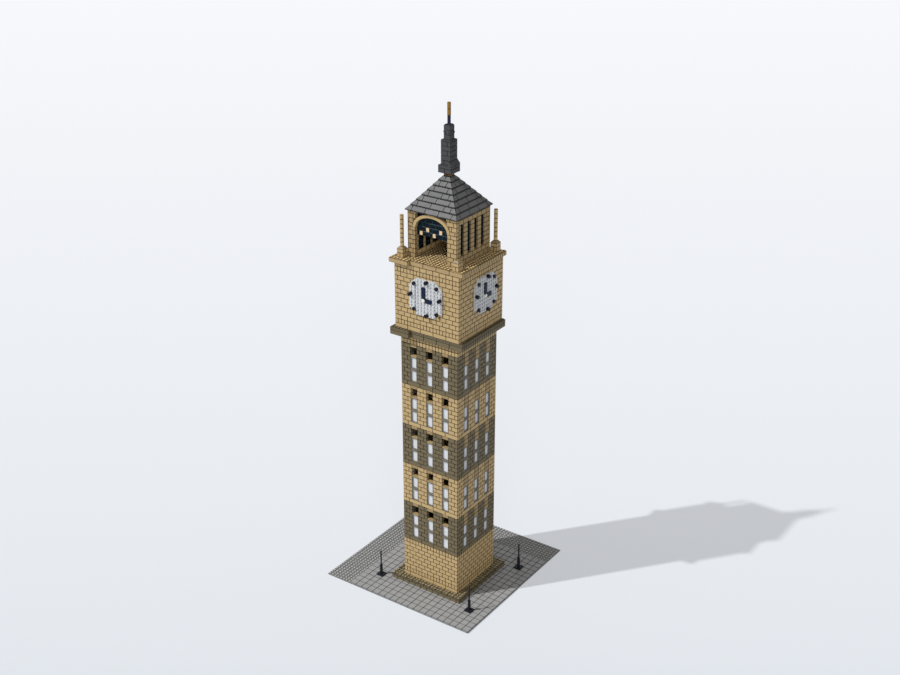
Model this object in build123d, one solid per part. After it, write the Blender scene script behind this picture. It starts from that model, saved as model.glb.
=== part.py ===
"""Toy clock tower of studded bricks on its square display base.

Millimetres, +Z up.  The origin is the bottom centre of the display base.
Widths are counted in studs and heights in plates, as the toy itself is laid out.
"""
from build123d import *
import math
import os

os.makedirs("parts", exist_ok=True)

# ---- the brick system -------------------------------------------------------
STUD = 8.0
PLATE = 3.2
BRICK_PLATES = 3
WALL = 1
FIT = 0.3

# ---- display base (studs) ---------------------------------------------------
BASE_STUDS = 48
BASE_THICK = 1.6
PAVING_FIRST_X = 8
PAVING_LAST_Y = 40
STRIP_GAP = 0.2

# ---- tower plan (studs from the tower axis) ---------------------------------
AXIS_X = 4
AXIS_Y = -4
SHAFT_HALF = 9
CHAMBER_HALF = 10
BELFRY_HALF = 7.5
ROOF_HALF = 8
PLINTH_LOW = (-12, -11)
PLINTH_HIGH = (11, 12)
PLINTH_RING = 5
CORNICE_HALF_X = 11
CORNICE_HALF_Y = 10
CORNER_BLOCK = 6

# ---- heights of each stage (plates) -----------------------------------------
PAVING_PLATES = 1
PLINTH_PLATES = 4
STOREY_PLATES = 30
STOREYS = 5
FRIEZE_PLATES = 6
CORNICE_PLATES = 3
CHAMBER_FLOOR_PLATES = 2
CHAMBER_PLATES = 45
BELFRY_PLATES = 31
ROOF_COURSES = 7
NECK_PLATES = 2

# ---- openings of a storey (plates above the storey's foot, studs wide) ------
WINDOW_COLUMNS = (-5, 0, 5)
WINDOW_STUDS = 2
SILL_PLATES = 3
FRAME_PLATES = 18
SLOT_SILL_PLATES = 1
SLOT_PLATES = 6
LINTEL_PLATES = 2
FRAME_SIDE = 1.0
FRAME_BAR = 6.0
FRAME_RIM = 1.2
PANE_THICK = 1.2
PANE_RECESS = 3.2

# ---- clock dials (studs from the dial centre) -------------------------------
DIAL_HALF = 5
DIAL_COLUMN_HALF = 3
DIAL_SHOULDER = 3
DIAL_FOOT = -3.4
DIAL_THICK = PLATE
DIAL_CENTRE_PLATES = 25.5
SIDE_DIAL_SHIFT = 1.5
MARKER_RADIUS = 3.9
MARKER_THICK = PLATE
QUARTER_THICK = 2 * PLATE
HAND_THICK = PLATE
QUARTER_SPOTS = (
    (0.5, 4.5),
    (0.5, -4.5),
    (4.5, 0.5),
    (-4.5, 0.5),
)
MARKER_SPOTS = (
    (3.5, 3.5),
    (-3.5, 3.5),
    (3.5, -3.5),
    (-3.5, -3.5),
)

# ---- belfry (studs, plates; posts as a share of the room's depth) -----------
ARCH_CENTRE = -0.25
ARCH_HALF = 5.65
ARCH_OPENING_HALF = 4.85
ARCH_SPRING_PLATES = 20.5
ARCH_RISE_PLATES = 9.9
ARCH_OPENING_RISE_PLATES = 8
SPANDREL_TIP = 4.5
SIDE_SLOT_CENTRES = (-5, -2, 1, 4)
BACK_SLOT_CENTRES = (-4.5, -1.5, 1.5, 4.5)
SIDE_SLOT_STUDS = 1.3
SIDE_SLOT_FOOT = 6
SIDE_SLOT_TOP = 27
LINING_STUDS = 0.5
BACK_LINING_STUDS = 1
SKIRTING_PLATES = 3
POST_SHARES = (0.096, 0.35, 0.604)
POST_PLATES = 15
SCREEN_STUDS = 1
SCREEN_FOOT = 15
LEDGE_SPOTS = ((-4, 0), (-2, 1), (0, 0), (2, 1))

# ---- corner pinnacles -------------------------------------------------------
PINNACLE_AT = 8.5
PINNACLE_BASE_HALF = 1
PINNACLE_BASE_PLATES = 7
PINNACLE_CHAMFER_PLATES = 1.5
PINNACLE_CHAMFER = 0.5
PINNACLE_COURSES = 7
PINNACLE_RADIUS = 4.0

# ---- roof and spire ---------------------------------------------------------
ROOF_LIP = 1.6
ROOF_RING = 2
COLLAR_HALF = 2
COLLAR_STRAIGHT_PLATES = 5
COLLAR_PLATES = 8
COLLAR_SLOPE_HEAD = 1
SPIRE_HALF = 1.5
SPIRE_PLATES = 13
SPIRE_TOP_HALF = 1
SPIRE_TOP_CHAMFER = 1.2
SPIRE_TOP_PLATES = 9
SPIRE_ROD_RADIUS = 3.4
SPIRE_ROD_PLATES = 6
FINIAL_RADIUS = 3.7
FINIAL_PLATES = 8

# ---- lamp posts (studs of the display base) ---------------------------------
LAMP_SPOTS = ((13, 8), (43, 8), (43, 33), (13, 33))
LAMP_SHAFT_RADIUS = 3.3
LAMP_SHAFT_TOP = 30.4
LAMP_ROD_RADIUS = 1.6
LAMP_TOP = 67.2


def level(plates):
    """Height above the table of a level counted in plates above the base."""
    return BASE_THICK + plates * PLATE


def block(x0, x1, y0, y1, z0, z1):
    """A box between studs in plan and between millimetre heights."""
    size_x = (x1 - x0) * STUD
    size_y = (y1 - y0) * STUD
    corner = Pos((AXIS_X + x0) * STUD, (AXIS_Y + y0) * STUD, z0)
    return corner * Box(size_x, size_y, z1 - z0, align=(Align.MIN, Align.MIN, Align.MIN))


def square_ring(half, inner_half, z0, z1):
    """Four walls joined round the tower axis, open above and below."""
    outside = block(-half, half, -half, half, z0, z1)
    inside = block(-inner_half, inner_half, -inner_half, inner_half, z0, z1)
    return outside - inside


def turned(shape, quarter_turns):
    """The same shape on the next face of the tower, counted anticlockwise."""
    axis = Axis((AXIS_X * STUD, AXIS_Y * STUD, 0), (0, 0, 1))
    return shape.rotate(axis, 90 * quarter_turns)


def tapered_block(foot, foot_half, top_half, height):
    """Four sloping faces over a square foot, between two half widths in millimetres."""
    slope = math.degrees(math.atan2(foot_half - top_half, height))
    return extrude(foot * Rectangle(2 * foot_half, 2 * foot_half), amount=height, taper=slope)


def save(name, solids):
    """Write one node, as one solid or as several that do not touch."""
    pieces = list(solids) if isinstance(solids, (list, tuple)) else [solids]
    flat = [solid for piece in pieces for solid in piece.solids()]
    shape = flat[0] if len(flat) == 1 else Compound(children=flat)
    shape.label = name
    export_step(shape, f"parts/{name}.step")


# ============================================================================
# Display base: one thin studded plate, grey tiles round the plinth, lamp posts
# ============================================================================
half_base = BASE_STUDS / 2
base = Pos(0, 0, BASE_THICK / 2) * Box(BASE_STUDS * STUD, BASE_STUDS * STUD, BASE_THICK)
save("baseplate", base)

left_edge = PAVING_FIRST_X - half_base - AXIS_X
right_edge = half_base - AXIS_X
front_edge = -half_base - AXIS_Y
back_edge = PAVING_LAST_Y - half_base - AXIS_Y
tile_foot = level(0)
tile_top = level(PAVING_PLATES)
gap = STRIP_GAP / STUD
paving = [
    block(left_edge, right_edge, front_edge, PLINTH_LOW[1], tile_foot, tile_top),
    block(left_edge, right_edge, PLINTH_HIGH[1], back_edge, tile_foot, tile_top),
    block(left_edge, PLINTH_LOW[0], PLINTH_LOW[1] + gap, PLINTH_HIGH[1] - gap, tile_foot, tile_top),
    block(PLINTH_HIGH[0], right_edge, PLINTH_LOW[1] + gap, PLINTH_HIGH[1] - gap, tile_foot, tile_top),
]
save("paving_tiles", paving)

lamps = []
for spot_x, spot_y in LAMP_SPOTS:
    lamp_x = (spot_x - half_base) * STUD
    lamp_y = (spot_y - half_base) * STUD
    foot_top = tile_top + PLATE
    foot = Pos(lamp_x, lamp_y, tile_top + PLATE / 2) * Box(2 * STUD, 2 * STUD, PLATE)
    shaft_height = LAMP_SHAFT_TOP - foot_top
    shaft = Pos(lamp_x, lamp_y, foot_top + shaft_height / 2) * Cylinder(LAMP_SHAFT_RADIUS, shaft_height)
    rod_height = LAMP_TOP - LAMP_SHAFT_TOP
    rod = Pos(lamp_x, lamp_y, LAMP_SHAFT_TOP + rod_height / 2) * Cylinder(LAMP_ROD_RADIUS, rod_height)
    lamps.append(foot + shaft + rod)
save("lamp_posts", lamps)

# ============================================================================
# Plinth: a ring of dark bricks that carries the tower's four walls
# ============================================================================
plinth_top = level(PLINTH_PLATES)
plinth = block(PLINTH_LOW[0], PLINTH_HIGH[0], PLINTH_LOW[1], PLINTH_HIGH[1], tile_foot, plinth_top)
plinth -= block(
    PLINTH_LOW[0] + PLINTH_RING,
    PLINTH_HIGH[0] - PLINTH_RING,
    PLINTH_LOW[1] + PLINTH_RING,
    PLINTH_HIGH[1] - PLINTH_RING,
    tile_foot,
    plinth_top,
)
save("plinth", plinth)

# ============================================================================
# Shaft: a plain base storey, then five storeys with three window columns a side
# ============================================================================
storey_foot = PLINTH_PLATES
base_top = storey_foot + STOREY_PLATES
save("base_storey", square_ring(SHAFT_HALF, SHAFT_HALF - WALL, level(storey_foot), level(base_top)))

window_half = WINDOW_STUDS / 2
frame_foot = SILL_PLATES
frame_top = frame_foot + FRAME_PLATES
slot_foot = frame_top + SLOT_SILL_PLATES
slot_top = slot_foot + SLOT_PLATES
lintel_top = slot_top + LINTEL_PLATES


def wall_piece(column, foot, top, storey_level, face):
    """A piece two studs wide that fills the wall of one face between two levels."""
    piece = block(
        column - window_half,
        column + window_half,
        -SHAFT_HALF,
        -SHAFT_HALF + WALL,
        level(storey_level + foot),
        level(storey_level + top),
    )
    return turned(piece, face)


frame_height = FRAME_PLATES * PLATE
pane_height = (frame_height - FRAME_BAR - 2 * FRAME_RIM) / 2
lower_pane = SILL_PLATES * PLATE + FRAME_RIM
upper_pane = lower_pane + pane_height + FRAME_BAR


def pane_box(column, pane_foot, thickness, recess, storey_level, face):
    """The clear glass of one pane: its width, height and depth in the frame."""
    width = WINDOW_STUDS * STUD - 2 * FRAME_SIDE
    centre_x = (AXIS_X + column) * STUD
    front_y = (AXIS_Y - SHAFT_HALF) * STUD + recess
    foot_z = level(storey_level) + pane_foot
    pane = Pos(centre_x, front_y, foot_z) * Box(
        width, thickness, pane_height, align=(Align.CENTER, Align.MIN, Align.MIN)
    )
    return turned(pane, face)


frames = []
panes = []
slot_sills = []
slot_lintels = []
side_strips = []
for storey in range(STOREYS):
    storey_level = base_top + storey * STOREY_PLATES
    walls = square_ring(
        SHAFT_HALF, SHAFT_HALF - WALL, level(storey_level), level(storey_level + STOREY_PLATES)
    )
    for face in range(4):
        for column in WINDOW_COLUMNS:
            walls -= wall_piece(column, frame_foot, lintel_top, storey_level, face)
            frame = wall_piece(column, frame_foot, frame_top, storey_level, face)
            for pane_foot in (lower_pane, upper_pane):
                frame -= pane_box(column, pane_foot, WALL * STUD, 0, storey_level, face)
                panes.append(pane_box(column, pane_foot, PANE_THICK, PANE_RECESS, storey_level, face))
            frames.append(frame)
            if face % 2 == 0:
                slot_sills.append(wall_piece(column, frame_top, slot_foot, storey_level, face))
                slot_lintels.append(wall_piece(column, slot_top, lintel_top, storey_level, face))
            else:
                side_strips.append(wall_piece(column, frame_top, lintel_top, storey_level, face))
    save(f"storey_{storey + 1}_walls", walls)

save("window_frames", frames)
save("window_panes", panes)
save("slot_sills_and_lintels", slot_sills + slot_lintels)
save("window_head_panels", side_strips)

shaft_top = base_top + STOREYS * STOREY_PLATES
frieze_top = shaft_top + FRIEZE_PLATES
save("shaft_frieze", square_ring(SHAFT_HALF, SHAFT_HALF - WALL, level(shaft_top), level(frieze_top)))

# ============================================================================
# Clock chamber: dark corbelled course and floor, tall plain walls, tan cornice
# ============================================================================


def cornice_slab(foot, top):
    """The cornice outline, one stud wider to each side and with its corner block."""
    slab = block(
        -CORNICE_HALF_X, CORNICE_HALF_X, -CORNICE_HALF_Y, CORNICE_HALF_Y, level(foot), level(top)
    )
    corner = block(
        -CORNICE_HALF_X,
        -CORNICE_HALF_X + CORNER_BLOCK,
        -CORNICE_HALF_Y - 1,
        -CORNICE_HALF_Y,
        level(foot),
        level(top),
    )
    return slab + corner


def core(half, foot, top):
    """The square space round the tower axis that a ring leaves open."""
    return block(-half, half, -half, half, level(foot), level(top))


corbel_top = frieze_top + CORNICE_PLATES
shaft_inner = SHAFT_HALF - WALL
save("lower_cornice", cornice_slab(frieze_top, corbel_top) - core(shaft_inner, frieze_top, corbel_top))

chamber_foot = corbel_top + CHAMBER_FLOOR_PLATES
save("clock_chamber_floor", cornice_slab(corbel_top, chamber_foot))

chamber_top = chamber_foot + CHAMBER_PLATES
save(
    "clock_chamber_walls",
    square_ring(CHAMBER_HALF, CHAMBER_HALF - WALL, level(chamber_foot), level(chamber_top)),
)

# The cornice ring is rebated one plate deep, and the belfry's deck lies in the rebate.
deck_top = chamber_top + CORNICE_PLATES
deck_foot = deck_top - 1
ledge_half = BELFRY_HALF - WALL
upper_cornice = cornice_slab(chamber_top, deck_top)
upper_cornice -= core(ledge_half, chamber_top, deck_foot)
upper_cornice -= core(shaft_inner, deck_foot, deck_top)
save("upper_cornice", upper_cornice)
save("belfry_deck", core(shaft_inner, deck_foot, deck_top))

# ============================================================================
# Dials: white plates with wedge shoulders, eight round markers, two fixed hands
# ============================================================================


def on_dial(face, across, up, out):
    """Where a point of a dial lies: studs across and up, millimetres off the wall."""
    shift = SIDE_DIAL_SHIFT if face % 2 == 1 else 0
    x = (AXIS_X + shift + across) * STUD
    y = (AXIS_Y - CHAMBER_HALF) * STUD - out
    z = level(chamber_foot + DIAL_CENTRE_PLATES) + up * STUD
    return x, y, z


def dial_plate(face):
    """The octagonal white plate of one face."""
    outline = [
        (-DIAL_COLUMN_HALF, DIAL_HALF),
        (-DIAL_HALF, DIAL_SHOULDER),
        (-DIAL_HALF, DIAL_FOOT),
        (-DIAL_COLUMN_HALF, DIAL_FOOT),
        (-DIAL_COLUMN_HALF, -DIAL_HALF),
        (DIAL_COLUMN_HALF, -DIAL_HALF),
        (DIAL_COLUMN_HALF, DIAL_FOOT),
        (DIAL_HALF, DIAL_FOOT),
        (DIAL_HALF, DIAL_SHOULDER),
        (DIAL_COLUMN_HALF, DIAL_HALF),
    ]
    corners = [on_dial(face, across, up, 0) for across, up in outline]
    plate = extrude(make_face(Polyline(corners, close=True)), amount=DIAL_THICK, dir=(0, -1, 0))
    return turned(plate, face)


def dial_disc(face, across, up, radius, thick):
    """A round plate lying on the face of a dial."""
    spot = on_dial(face, across, up, DIAL_THICK + thick / 2)
    disc = Location(spot) * Rot(90, 0, 0) * Cylinder(radius, thick)
    return turned(disc, face)


def dial_bar(face, low, high):
    """A flat hand between two corners given in studs across and up."""
    x0, y0, z0 = on_dial(face, low[0], low[1], DIAL_THICK + HAND_THICK)
    x1, y1, z1 = on_dial(face, high[0], high[1], DIAL_THICK)
    bar = Pos(x0, y0, z0) * Box(x1 - x0, y1 - y0, z1 - z0, align=(Align.MIN, Align.MIN, Align.MIN))
    return turned(bar, face)


dials = []
markers = []
hands = []
hubs = []
for face in range(4):
    dials.append(dial_plate(face))
    for across, up in QUARTER_SPOTS:
        markers.append(dial_disc(face, across, up, MARKER_RADIUS, QUARTER_THICK))
    for across, up in MARKER_SPOTS:
        markers.append(dial_disc(face, across, up, MARKER_RADIUS, MARKER_THICK))
    hands.append(dial_bar(face, (-1, 0), (0, 3)))
    hands.append(dial_bar(face, (0, -1), (2, 0)))
    hubs.append(dial_disc(face, -0.5, -0.5, MARKER_RADIUS, HAND_THICK))
save("clock_dials", dials)
save("dial_markers", markers)
save("clock_hands", hands)
save("clock_hubs", hubs)

# ============================================================================
# Belfry: an arch in front, three slotted walls, and inside them a dark lining
# with a screen behind the arch that stops above the heads of the room
# ============================================================================
belfry_foot = deck_top
belfry_top = belfry_foot + BELFRY_PLATES
spring = belfry_foot + ARCH_SPRING_PLATES
arch_x = (AXIS_X + ARCH_CENTRE) * STUD
front_y = (AXIS_Y - BELFRY_HALF) * STUD
between = BELFRY_HALF - WALL


def arch_shape(half_width, rise, ease):
    """Half an ellipse standing on the springing line, one wall thick, and its ease in mm."""
    plane = Plane(origin=(arch_x, front_y, level(spring)), x_dir=(1, 0, 0), z_dir=(0, -1, 0))
    ellipse = plane * Ellipse(half_width * STUD + ease, rise * PLATE + ease)
    body = extrude(ellipse, amount=-WALL * STUD)
    above = block(-BELFRY_HALF, BELFRY_HALF, -BELFRY_HALF, 0, level(spring), level(belfry_top))
    return body & above


def room_piece(x0, x1, y0, y1, foot, top):
    """A box in the belfry between two levels counted above its deck."""
    return block(x0, x1, y0, y1, level(belfry_foot + foot), level(belfry_foot + top))


arch_void = arch_shape(ARCH_OPENING_HALF, ARCH_OPENING_RISE_PLATES, 0)
arch_seat = arch_shape(ARCH_HALF, ARCH_RISE_PLATES, FIT)
save("belfry_front_arch", arch_shape(ARCH_HALF, ARCH_RISE_PLATES, 0) - arch_void)

front_piers = []
for side in (-1, 1):
    inner, outer = sorted((ARCH_CENTRE + side * ARCH_OPENING_HALF, side * BELFRY_HALF))
    jamb = room_piece(inner, outer, -BELFRY_HALF, -between, 0, ARCH_SPRING_PLATES)
    inner, outer = sorted((ARCH_CENTRE + side * SPANDREL_TIP, side * BELFRY_HALF))
    head = room_piece(inner, outer, -BELFRY_HALF, -between, ARCH_SPRING_PLATES, BELFRY_PLATES)
    front_piers.append(jamb + (head - arch_seat))
save("belfry_front_piers", front_piers)

side_wall = room_piece(between, BELFRY_HALF, -between, BELFRY_HALF, 0, BELFRY_PLATES)
for centre in SIDE_SLOT_CENTRES:
    low = centre - SIDE_SLOT_STUDS / 2
    high = centre + SIDE_SLOT_STUDS / 2
    side_wall -= room_piece(between, BELFRY_HALF, low, high, SIDE_SLOT_FOOT, SIDE_SLOT_TOP)
back_wall = room_piece(-between + gap, between - gap, between, BELFRY_HALF, 0, BELFRY_PLATES)
for centre in BACK_SLOT_CENTRES:
    low = centre - SIDE_SLOT_STUDS / 2
    high = centre + SIDE_SLOT_STUDS / 2
    back_wall -= room_piece(low, high, between, BELFRY_HALF, SIDE_SLOT_FOOT, SIDE_SLOT_TOP)
tower_mid = Plane(origin=(AXIS_X * STUD, 0, 0), z_dir=(1, 0, 0))
save("belfry_slotted_walls", [side_wall, mirror(side_wall, about=tower_mid), back_wall])

room_half = between - LINING_STUDS
room_back = between - BACK_LINING_STUDS


def lining(foot, top):
    """The left, right and back linings of the room between two levels."""
    left = room_piece(-between, -room_half, -between, room_back, foot, top)
    right = room_piece(room_half, between, -between, room_back, foot, top)
    back = room_piece(-between, between, room_back + gap, between, foot, top)
    return left, right, back


room_depth = room_back + between


left_skirting, right_skirting, back_skirting = lining(0, SKIRTING_PLATES)
left_lining, right_lining, back_lining = lining(SKIRTING_PLATES, BELFRY_PLATES)
post_top = SKIRTING_PLATES + POST_PLATES
for share in POST_SHARES:
    centre = share * room_depth - between
    post = room_piece(-between, -room_half, centre - 0.5, centre + 0.5, SKIRTING_PLATES, post_top)
    left_lining -= post
    left_skirting += post
save("belfry_skirting", [left_skirting, right_skirting, back_skirting])


def screen_piece(x0, x1, foot, top):
    """A piece of the screen that hangs behind the arch, between two levels."""
    return room_piece(x0, x1, -between, -between + SCREEN_STUDS, foot, top)


screen = screen_piece(-room_half + gap, room_half - gap, SCREEN_FOOT, BELFRY_PLATES)
ledges = []
for across, course in LEDGE_SPOTS:
    foot = SCREEN_FOOT + course * BRICK_PLATES
    ledge = screen_piece(across - 0.5, across + 0.5, foot, foot + BRICK_PLATES)
    screen -= ledge
    ledges.append(ledge)
save("belfry_lining", [left_lining, right_lining, back_lining, screen])
save("belfry_ledge_bricks", ledges)

# ============================================================================
# Corner pinnacles: bevelled square blocks, three of them with a round column
# ============================================================================
base_straight = PINNACLE_BASE_PLATES - PINNACLE_CHAMFER_PLATES
column_height = PINNACLE_COURSES * BRICK_PLATES * PLATE
pinnacle_bases = []
pinnacle_columns = []
for side_x, side_y in ((-1, -1), (1, -1), (1, 1), (-1, 1)):
    spot_x = (AXIS_X + side_x * PINNACLE_AT) * STUD
    spot_y = (AXIS_Y + side_y * PINNACLE_AT) * STUD
    foot_z = level(deck_top)
    straight = base_straight * PLATE
    half = PINNACLE_BASE_HALF * STUD
    lower = Pos(spot_x, spot_y, foot_z + straight / 2) * Box(2 * half, 2 * half, straight)
    top_half = half - PINNACLE_CHAMFER * STUD
    cap_foot = Pos(spot_x, spot_y, foot_z + straight)
    cap = tapered_block(cap_foot, half, top_half, PINNACLE_CHAMFER_PLATES * PLATE)
    pinnacle_bases.append(lower + cap)
    if (side_x, side_y) != (1, -1):
        column_foot = foot_z + PINNACLE_BASE_PLATES * PLATE
        column = Pos(spot_x, spot_y, column_foot + column_height / 2)
        pinnacle_columns.append(column * Cylinder(PINNACLE_RADIUS, column_height))
save("pinnacle_bases", pinnacle_bases)
save("pinnacle_columns", pinnacle_columns)

# ============================================================================
# Roof: seven hollow courses of sloping bricks, each with a short upright lip
# ============================================================================


def sloping_block(half, top_half, foot_z, top_z):
    """Four sloping faces round the tower axis, with half widths in studs."""
    foot = Pos(AXIS_X * STUD, AXIS_Y * STUD, foot_z)
    return tapered_block(foot, half * STUD, top_half * STUD, top_z - foot_z)


roof_foot = belfry_top
for course in range(ROOF_COURSES):
    foot_z = level(roof_foot + course * BRICK_PLATES)
    top_z = level(roof_foot + (course + 1) * BRICK_PLATES)
    half = ROOF_HALF - course
    lip = block(-half, half, -half, half, foot_z, foot_z + ROOF_LIP)
    ring = lip + sloping_block(half, half - 1, foot_z + ROOF_LIP, top_z)
    inner = half - ROOF_RING
    if inner > 0:
        ring -= block(-inner, inner, -inner, inner, foot_z, top_z)
    save(f"roof_course_{course + 1}", ring)

# ============================================================================
# Spire: a neck, a collar with one sloping side, two square stages, a rod and a
# gold finial
# ============================================================================


def prism(half, foot, top):
    """A square post on the tower axis between two levels."""
    return block(-half, half, -half, half, level(foot), level(top))


def round_post(radius, foot, top):
    """A round post on the tower axis between two levels."""
    height = (top - foot) * PLATE
    middle = Pos(AXIS_X * STUD, AXIS_Y * STUD, level(foot) + height / 2)
    return middle * Cylinder(radius, height)


neck_foot = roof_foot + ROOF_COURSES * BRICK_PLATES
collar_foot = neck_foot + NECK_PLATES
collar_step = collar_foot + COLLAR_STRAIGHT_PLATES
spire_foot = collar_foot + COLLAR_PLATES
spire_top_foot = spire_foot + SPIRE_PLATES
rod_foot = spire_top_foot + SPIRE_TOP_PLATES
finial_foot = rod_foot + SPIRE_ROD_PLATES

save("spire_neck", prism(1, neck_foot, collar_foot))
slope_y = (AXIS_Y - COLLAR_HALF) * STUD
slope_corners = [
    ((AXIS_X + COLLAR_SLOPE_HEAD) * STUD, slope_y, level(collar_step)),
    ((AXIS_X + COLLAR_HALF) * STUD, slope_y, level(collar_step)),
    ((AXIS_X + COLLAR_SLOPE_HEAD) * STUD, slope_y, level(spire_foot)),
]
slope_end = make_face(Polyline(slope_corners, close=True))
slope = extrude(slope_end, amount=2 * COLLAR_HALF * STUD, dir=(0, 1, 0))
collar = prism(COLLAR_HALF, collar_foot, collar_step) + prism(SPIRE_HALF, collar_step, spire_foot)
save("spire_collar", collar + slope)
save("spire_stage", prism(SPIRE_HALF, spire_foot, spire_top_foot))
spire_top = prism(SPIRE_TOP_HALF, spire_top_foot, rod_foot)
save("spire_top", chamfer(spire_top.edges().filter_by(Axis.Z), SPIRE_TOP_CHAMFER))
save("spire_rod", round_post(SPIRE_ROD_RADIUS, rod_foot, finial_foot))
save("gold_finial", round_post(FINIAL_RADIUS, finial_foot, finial_foot + FINIAL_PLATES))
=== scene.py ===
import math
import random

import bmesh
import bpy
from mathutils import Matrix, Vector


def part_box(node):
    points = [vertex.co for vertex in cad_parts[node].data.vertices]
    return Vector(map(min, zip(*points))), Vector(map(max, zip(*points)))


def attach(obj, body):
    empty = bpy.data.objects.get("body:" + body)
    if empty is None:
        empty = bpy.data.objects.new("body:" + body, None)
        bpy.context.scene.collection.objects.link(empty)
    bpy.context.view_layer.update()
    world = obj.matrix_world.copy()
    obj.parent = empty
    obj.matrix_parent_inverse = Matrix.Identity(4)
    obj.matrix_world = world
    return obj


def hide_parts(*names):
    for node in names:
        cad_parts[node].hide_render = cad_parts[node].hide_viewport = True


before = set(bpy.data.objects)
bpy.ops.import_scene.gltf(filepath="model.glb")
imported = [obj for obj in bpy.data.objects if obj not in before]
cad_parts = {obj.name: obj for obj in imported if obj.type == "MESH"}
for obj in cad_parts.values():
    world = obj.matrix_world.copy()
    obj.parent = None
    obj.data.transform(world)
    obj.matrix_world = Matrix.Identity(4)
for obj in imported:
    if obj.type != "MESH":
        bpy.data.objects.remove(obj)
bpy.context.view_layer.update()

# The small differences of shade between bricks are the same in every run.
random.seed(7)

# ==== Display base ============================================
# One thin vacuum-formed sheet of grey ABS, 48 studs a side, with a moulded stud
# on every cell.  Its studs show only on the two strips that the tiles leave bare.

STUD = 0.008  # from the middle of one stud to the next
PLATE = 0.0032  # the height of a plate
BRICK = 3 * PLATE
SEAM = 0.00024  # the gap between neighbouring pieces
FINE_EDGE = 0.0003  # the rounded edge of a thin piece
BASE_STUD_PAINTED_HIGHLIGHT = 0.9  # painted highlight: the studs are drawn much lighter than the sheet

base_low, base_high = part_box("baseplate")
paving_low, paving_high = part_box("paving_tiles")


def linear(hex_colour):
    """An sRGB hex colour as linear red, green, blue and a full alpha."""
    parts = []
    for start in (1, 3, 5):
        level = int(hex_colour[start:start + 2], 16) / 255
        parts.append(level / 12.92 if level <= 0.04045 else ((level + 0.055) / 1.055) ** 2.4)
    return (*parts, 1.0)


def node(material, kind, settings=None, **inputs):
    """Adds one shader node; an input is a value, or the socket that feeds it."""
    made = material.node_tree.nodes.new(kind)
    for name, value in (settings or {}).items():
        setattr(made, name, value)
    for name, value in inputs.items():
        key = int(name[1:]) if name[1:].isdigit() else name.replace("_", " ")
        if isinstance(value, bpy.types.NodeSocket):
            material.node_tree.links.new(value, made.inputs[key])
        else:
            made.inputs[key].default_value = value
    return made


def moulded_abs(name, hex_colour, roughness=0.46, wear=0.08, depth=0.25, sheen=0.2):
    """Injection-moulded ABS: even colour, soft gloss, a faint flow ripple and dust."""
    material = bpy.data.materials.new(name)
    material.use_nodes = True
    material.node_tree.nodes.clear()
    place = node(material, "ShaderNodeTexCoord").outputs["Object"]
    # Every moulded piece has a shade of its own, which its mesh carries as its tone; on some
    # pieces the tone also carries painted light and painted shade.
    tone = node(material, "ShaderNodeAttribute", {"attribute_name": "tone"}).outputs["Fac"]
    # Dust and handling marks come in patches about 25 mm across.
    patch_size = 0.025
    patch = node(
        material, "ShaderNodeTexNoise",
        Vector=place, Scale=1 / patch_size, Detail=4.0, Roughness=0.6,
    ).outputs[0]
    # The ripple of the mould shows as a grain of about 1.2 mm, coarser than the real 0.3 mm.
    ripple_size = 0.0012
    ripple_height = 0.00006
    ripple = node(
        material, "ShaderNodeTexNoise",
        Vector=place, Scale=1 / ripple_size, Detail=2.0, Roughness=0.5,
    ).outputs[0]
    spread = node(
        material, "ShaderNodeMath", {"operation": "MULTIPLY_ADD"},
        _0=patch, _1=wear, _2=1 - wear / 2,
    ).outputs[0]
    shade = node(material, "ShaderNodeMath", {"operation": "ADD"}, _0=spread, _1=tone).outputs[0]
    grey = node(material, "ShaderNodeCombineColor", Red=shade, Green=shade, Blue=shade).outputs[0]
    colour = node(
        material, "ShaderNodeMix", {"data_type": "RGBA", "blend_type": "MULTIPLY"},
        _0=1.0, _6=linear(hex_colour), _7=grey,
    ).outputs[2]
    # The same patches take the shine off the clean face by up to a quarter.
    gloss = node(
        material, "ShaderNodeMath", {"operation": "MULTIPLY_ADD"},
        _0=patch, _1=0.25, _2=roughness - 0.12,
    ).outputs[0]
    bump = node(
        material, "ShaderNodeBump", Strength=depth, Distance=ripple_height, Height=ripple,
    ).outputs[0]
    shader = node(
        material, "ShaderNodeBsdfPrincipled", IOR=1.54, Metallic=0.0, Specular_IOR_Level=sheen,
        Base_Color=colour, Roughness=gloss, Normal=bump,
    ).outputs[0]
    node(material, "ShaderNodeOutputMaterial", Surface=shader)
    return material


models = []


def start_model(name, kind, **sizes):
    """Adds the primitive that a model starts from, all selected in edit mode.

    Its first material slot is the face and its second the seam.
    """
    bpy.ops.object.select_all(action="DESELECT")
    getattr(bpy.ops.mesh, kind)(**sizes)
    model = bpy.context.object
    model.name = name
    bpy.ops.object.transform_apply(location=True, rotation=True, scale=True)
    for slot in ("moulded_face", "moulded_seam"):
        finish = bpy.data.materials.get(slot) or bpy.data.materials.new(slot)
        model.data.materials.append(finish)
    models.append(model)
    bpy.ops.object.mode_set(mode="EDIT")
    bpy.ops.mesh.select_all(action="SELECT")
    return model


def pick(model, wanted):
    """Selects in edit mode the faces of a model that a test on the normal accepts."""
    bpy.ops.mesh.select_mode(type="FACE")
    bpy.ops.mesh.select_all(action="DESELECT")
    mesh = bmesh.from_edit_mesh(model.data)
    for face in mesh.faces:
        face.select = wanted(face.normal)
    mesh.select_flush_mode()
    bmesh.update_edit_mesh(model.data)


def soften(edge, slot=1):
    """Rounds what is selected in edit mode, in the seam's finish; slot -1 keeps the face's."""
    bpy.ops.mesh.bevel(offset=edge, segments=1, affect="EDGES", material=slot)


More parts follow.
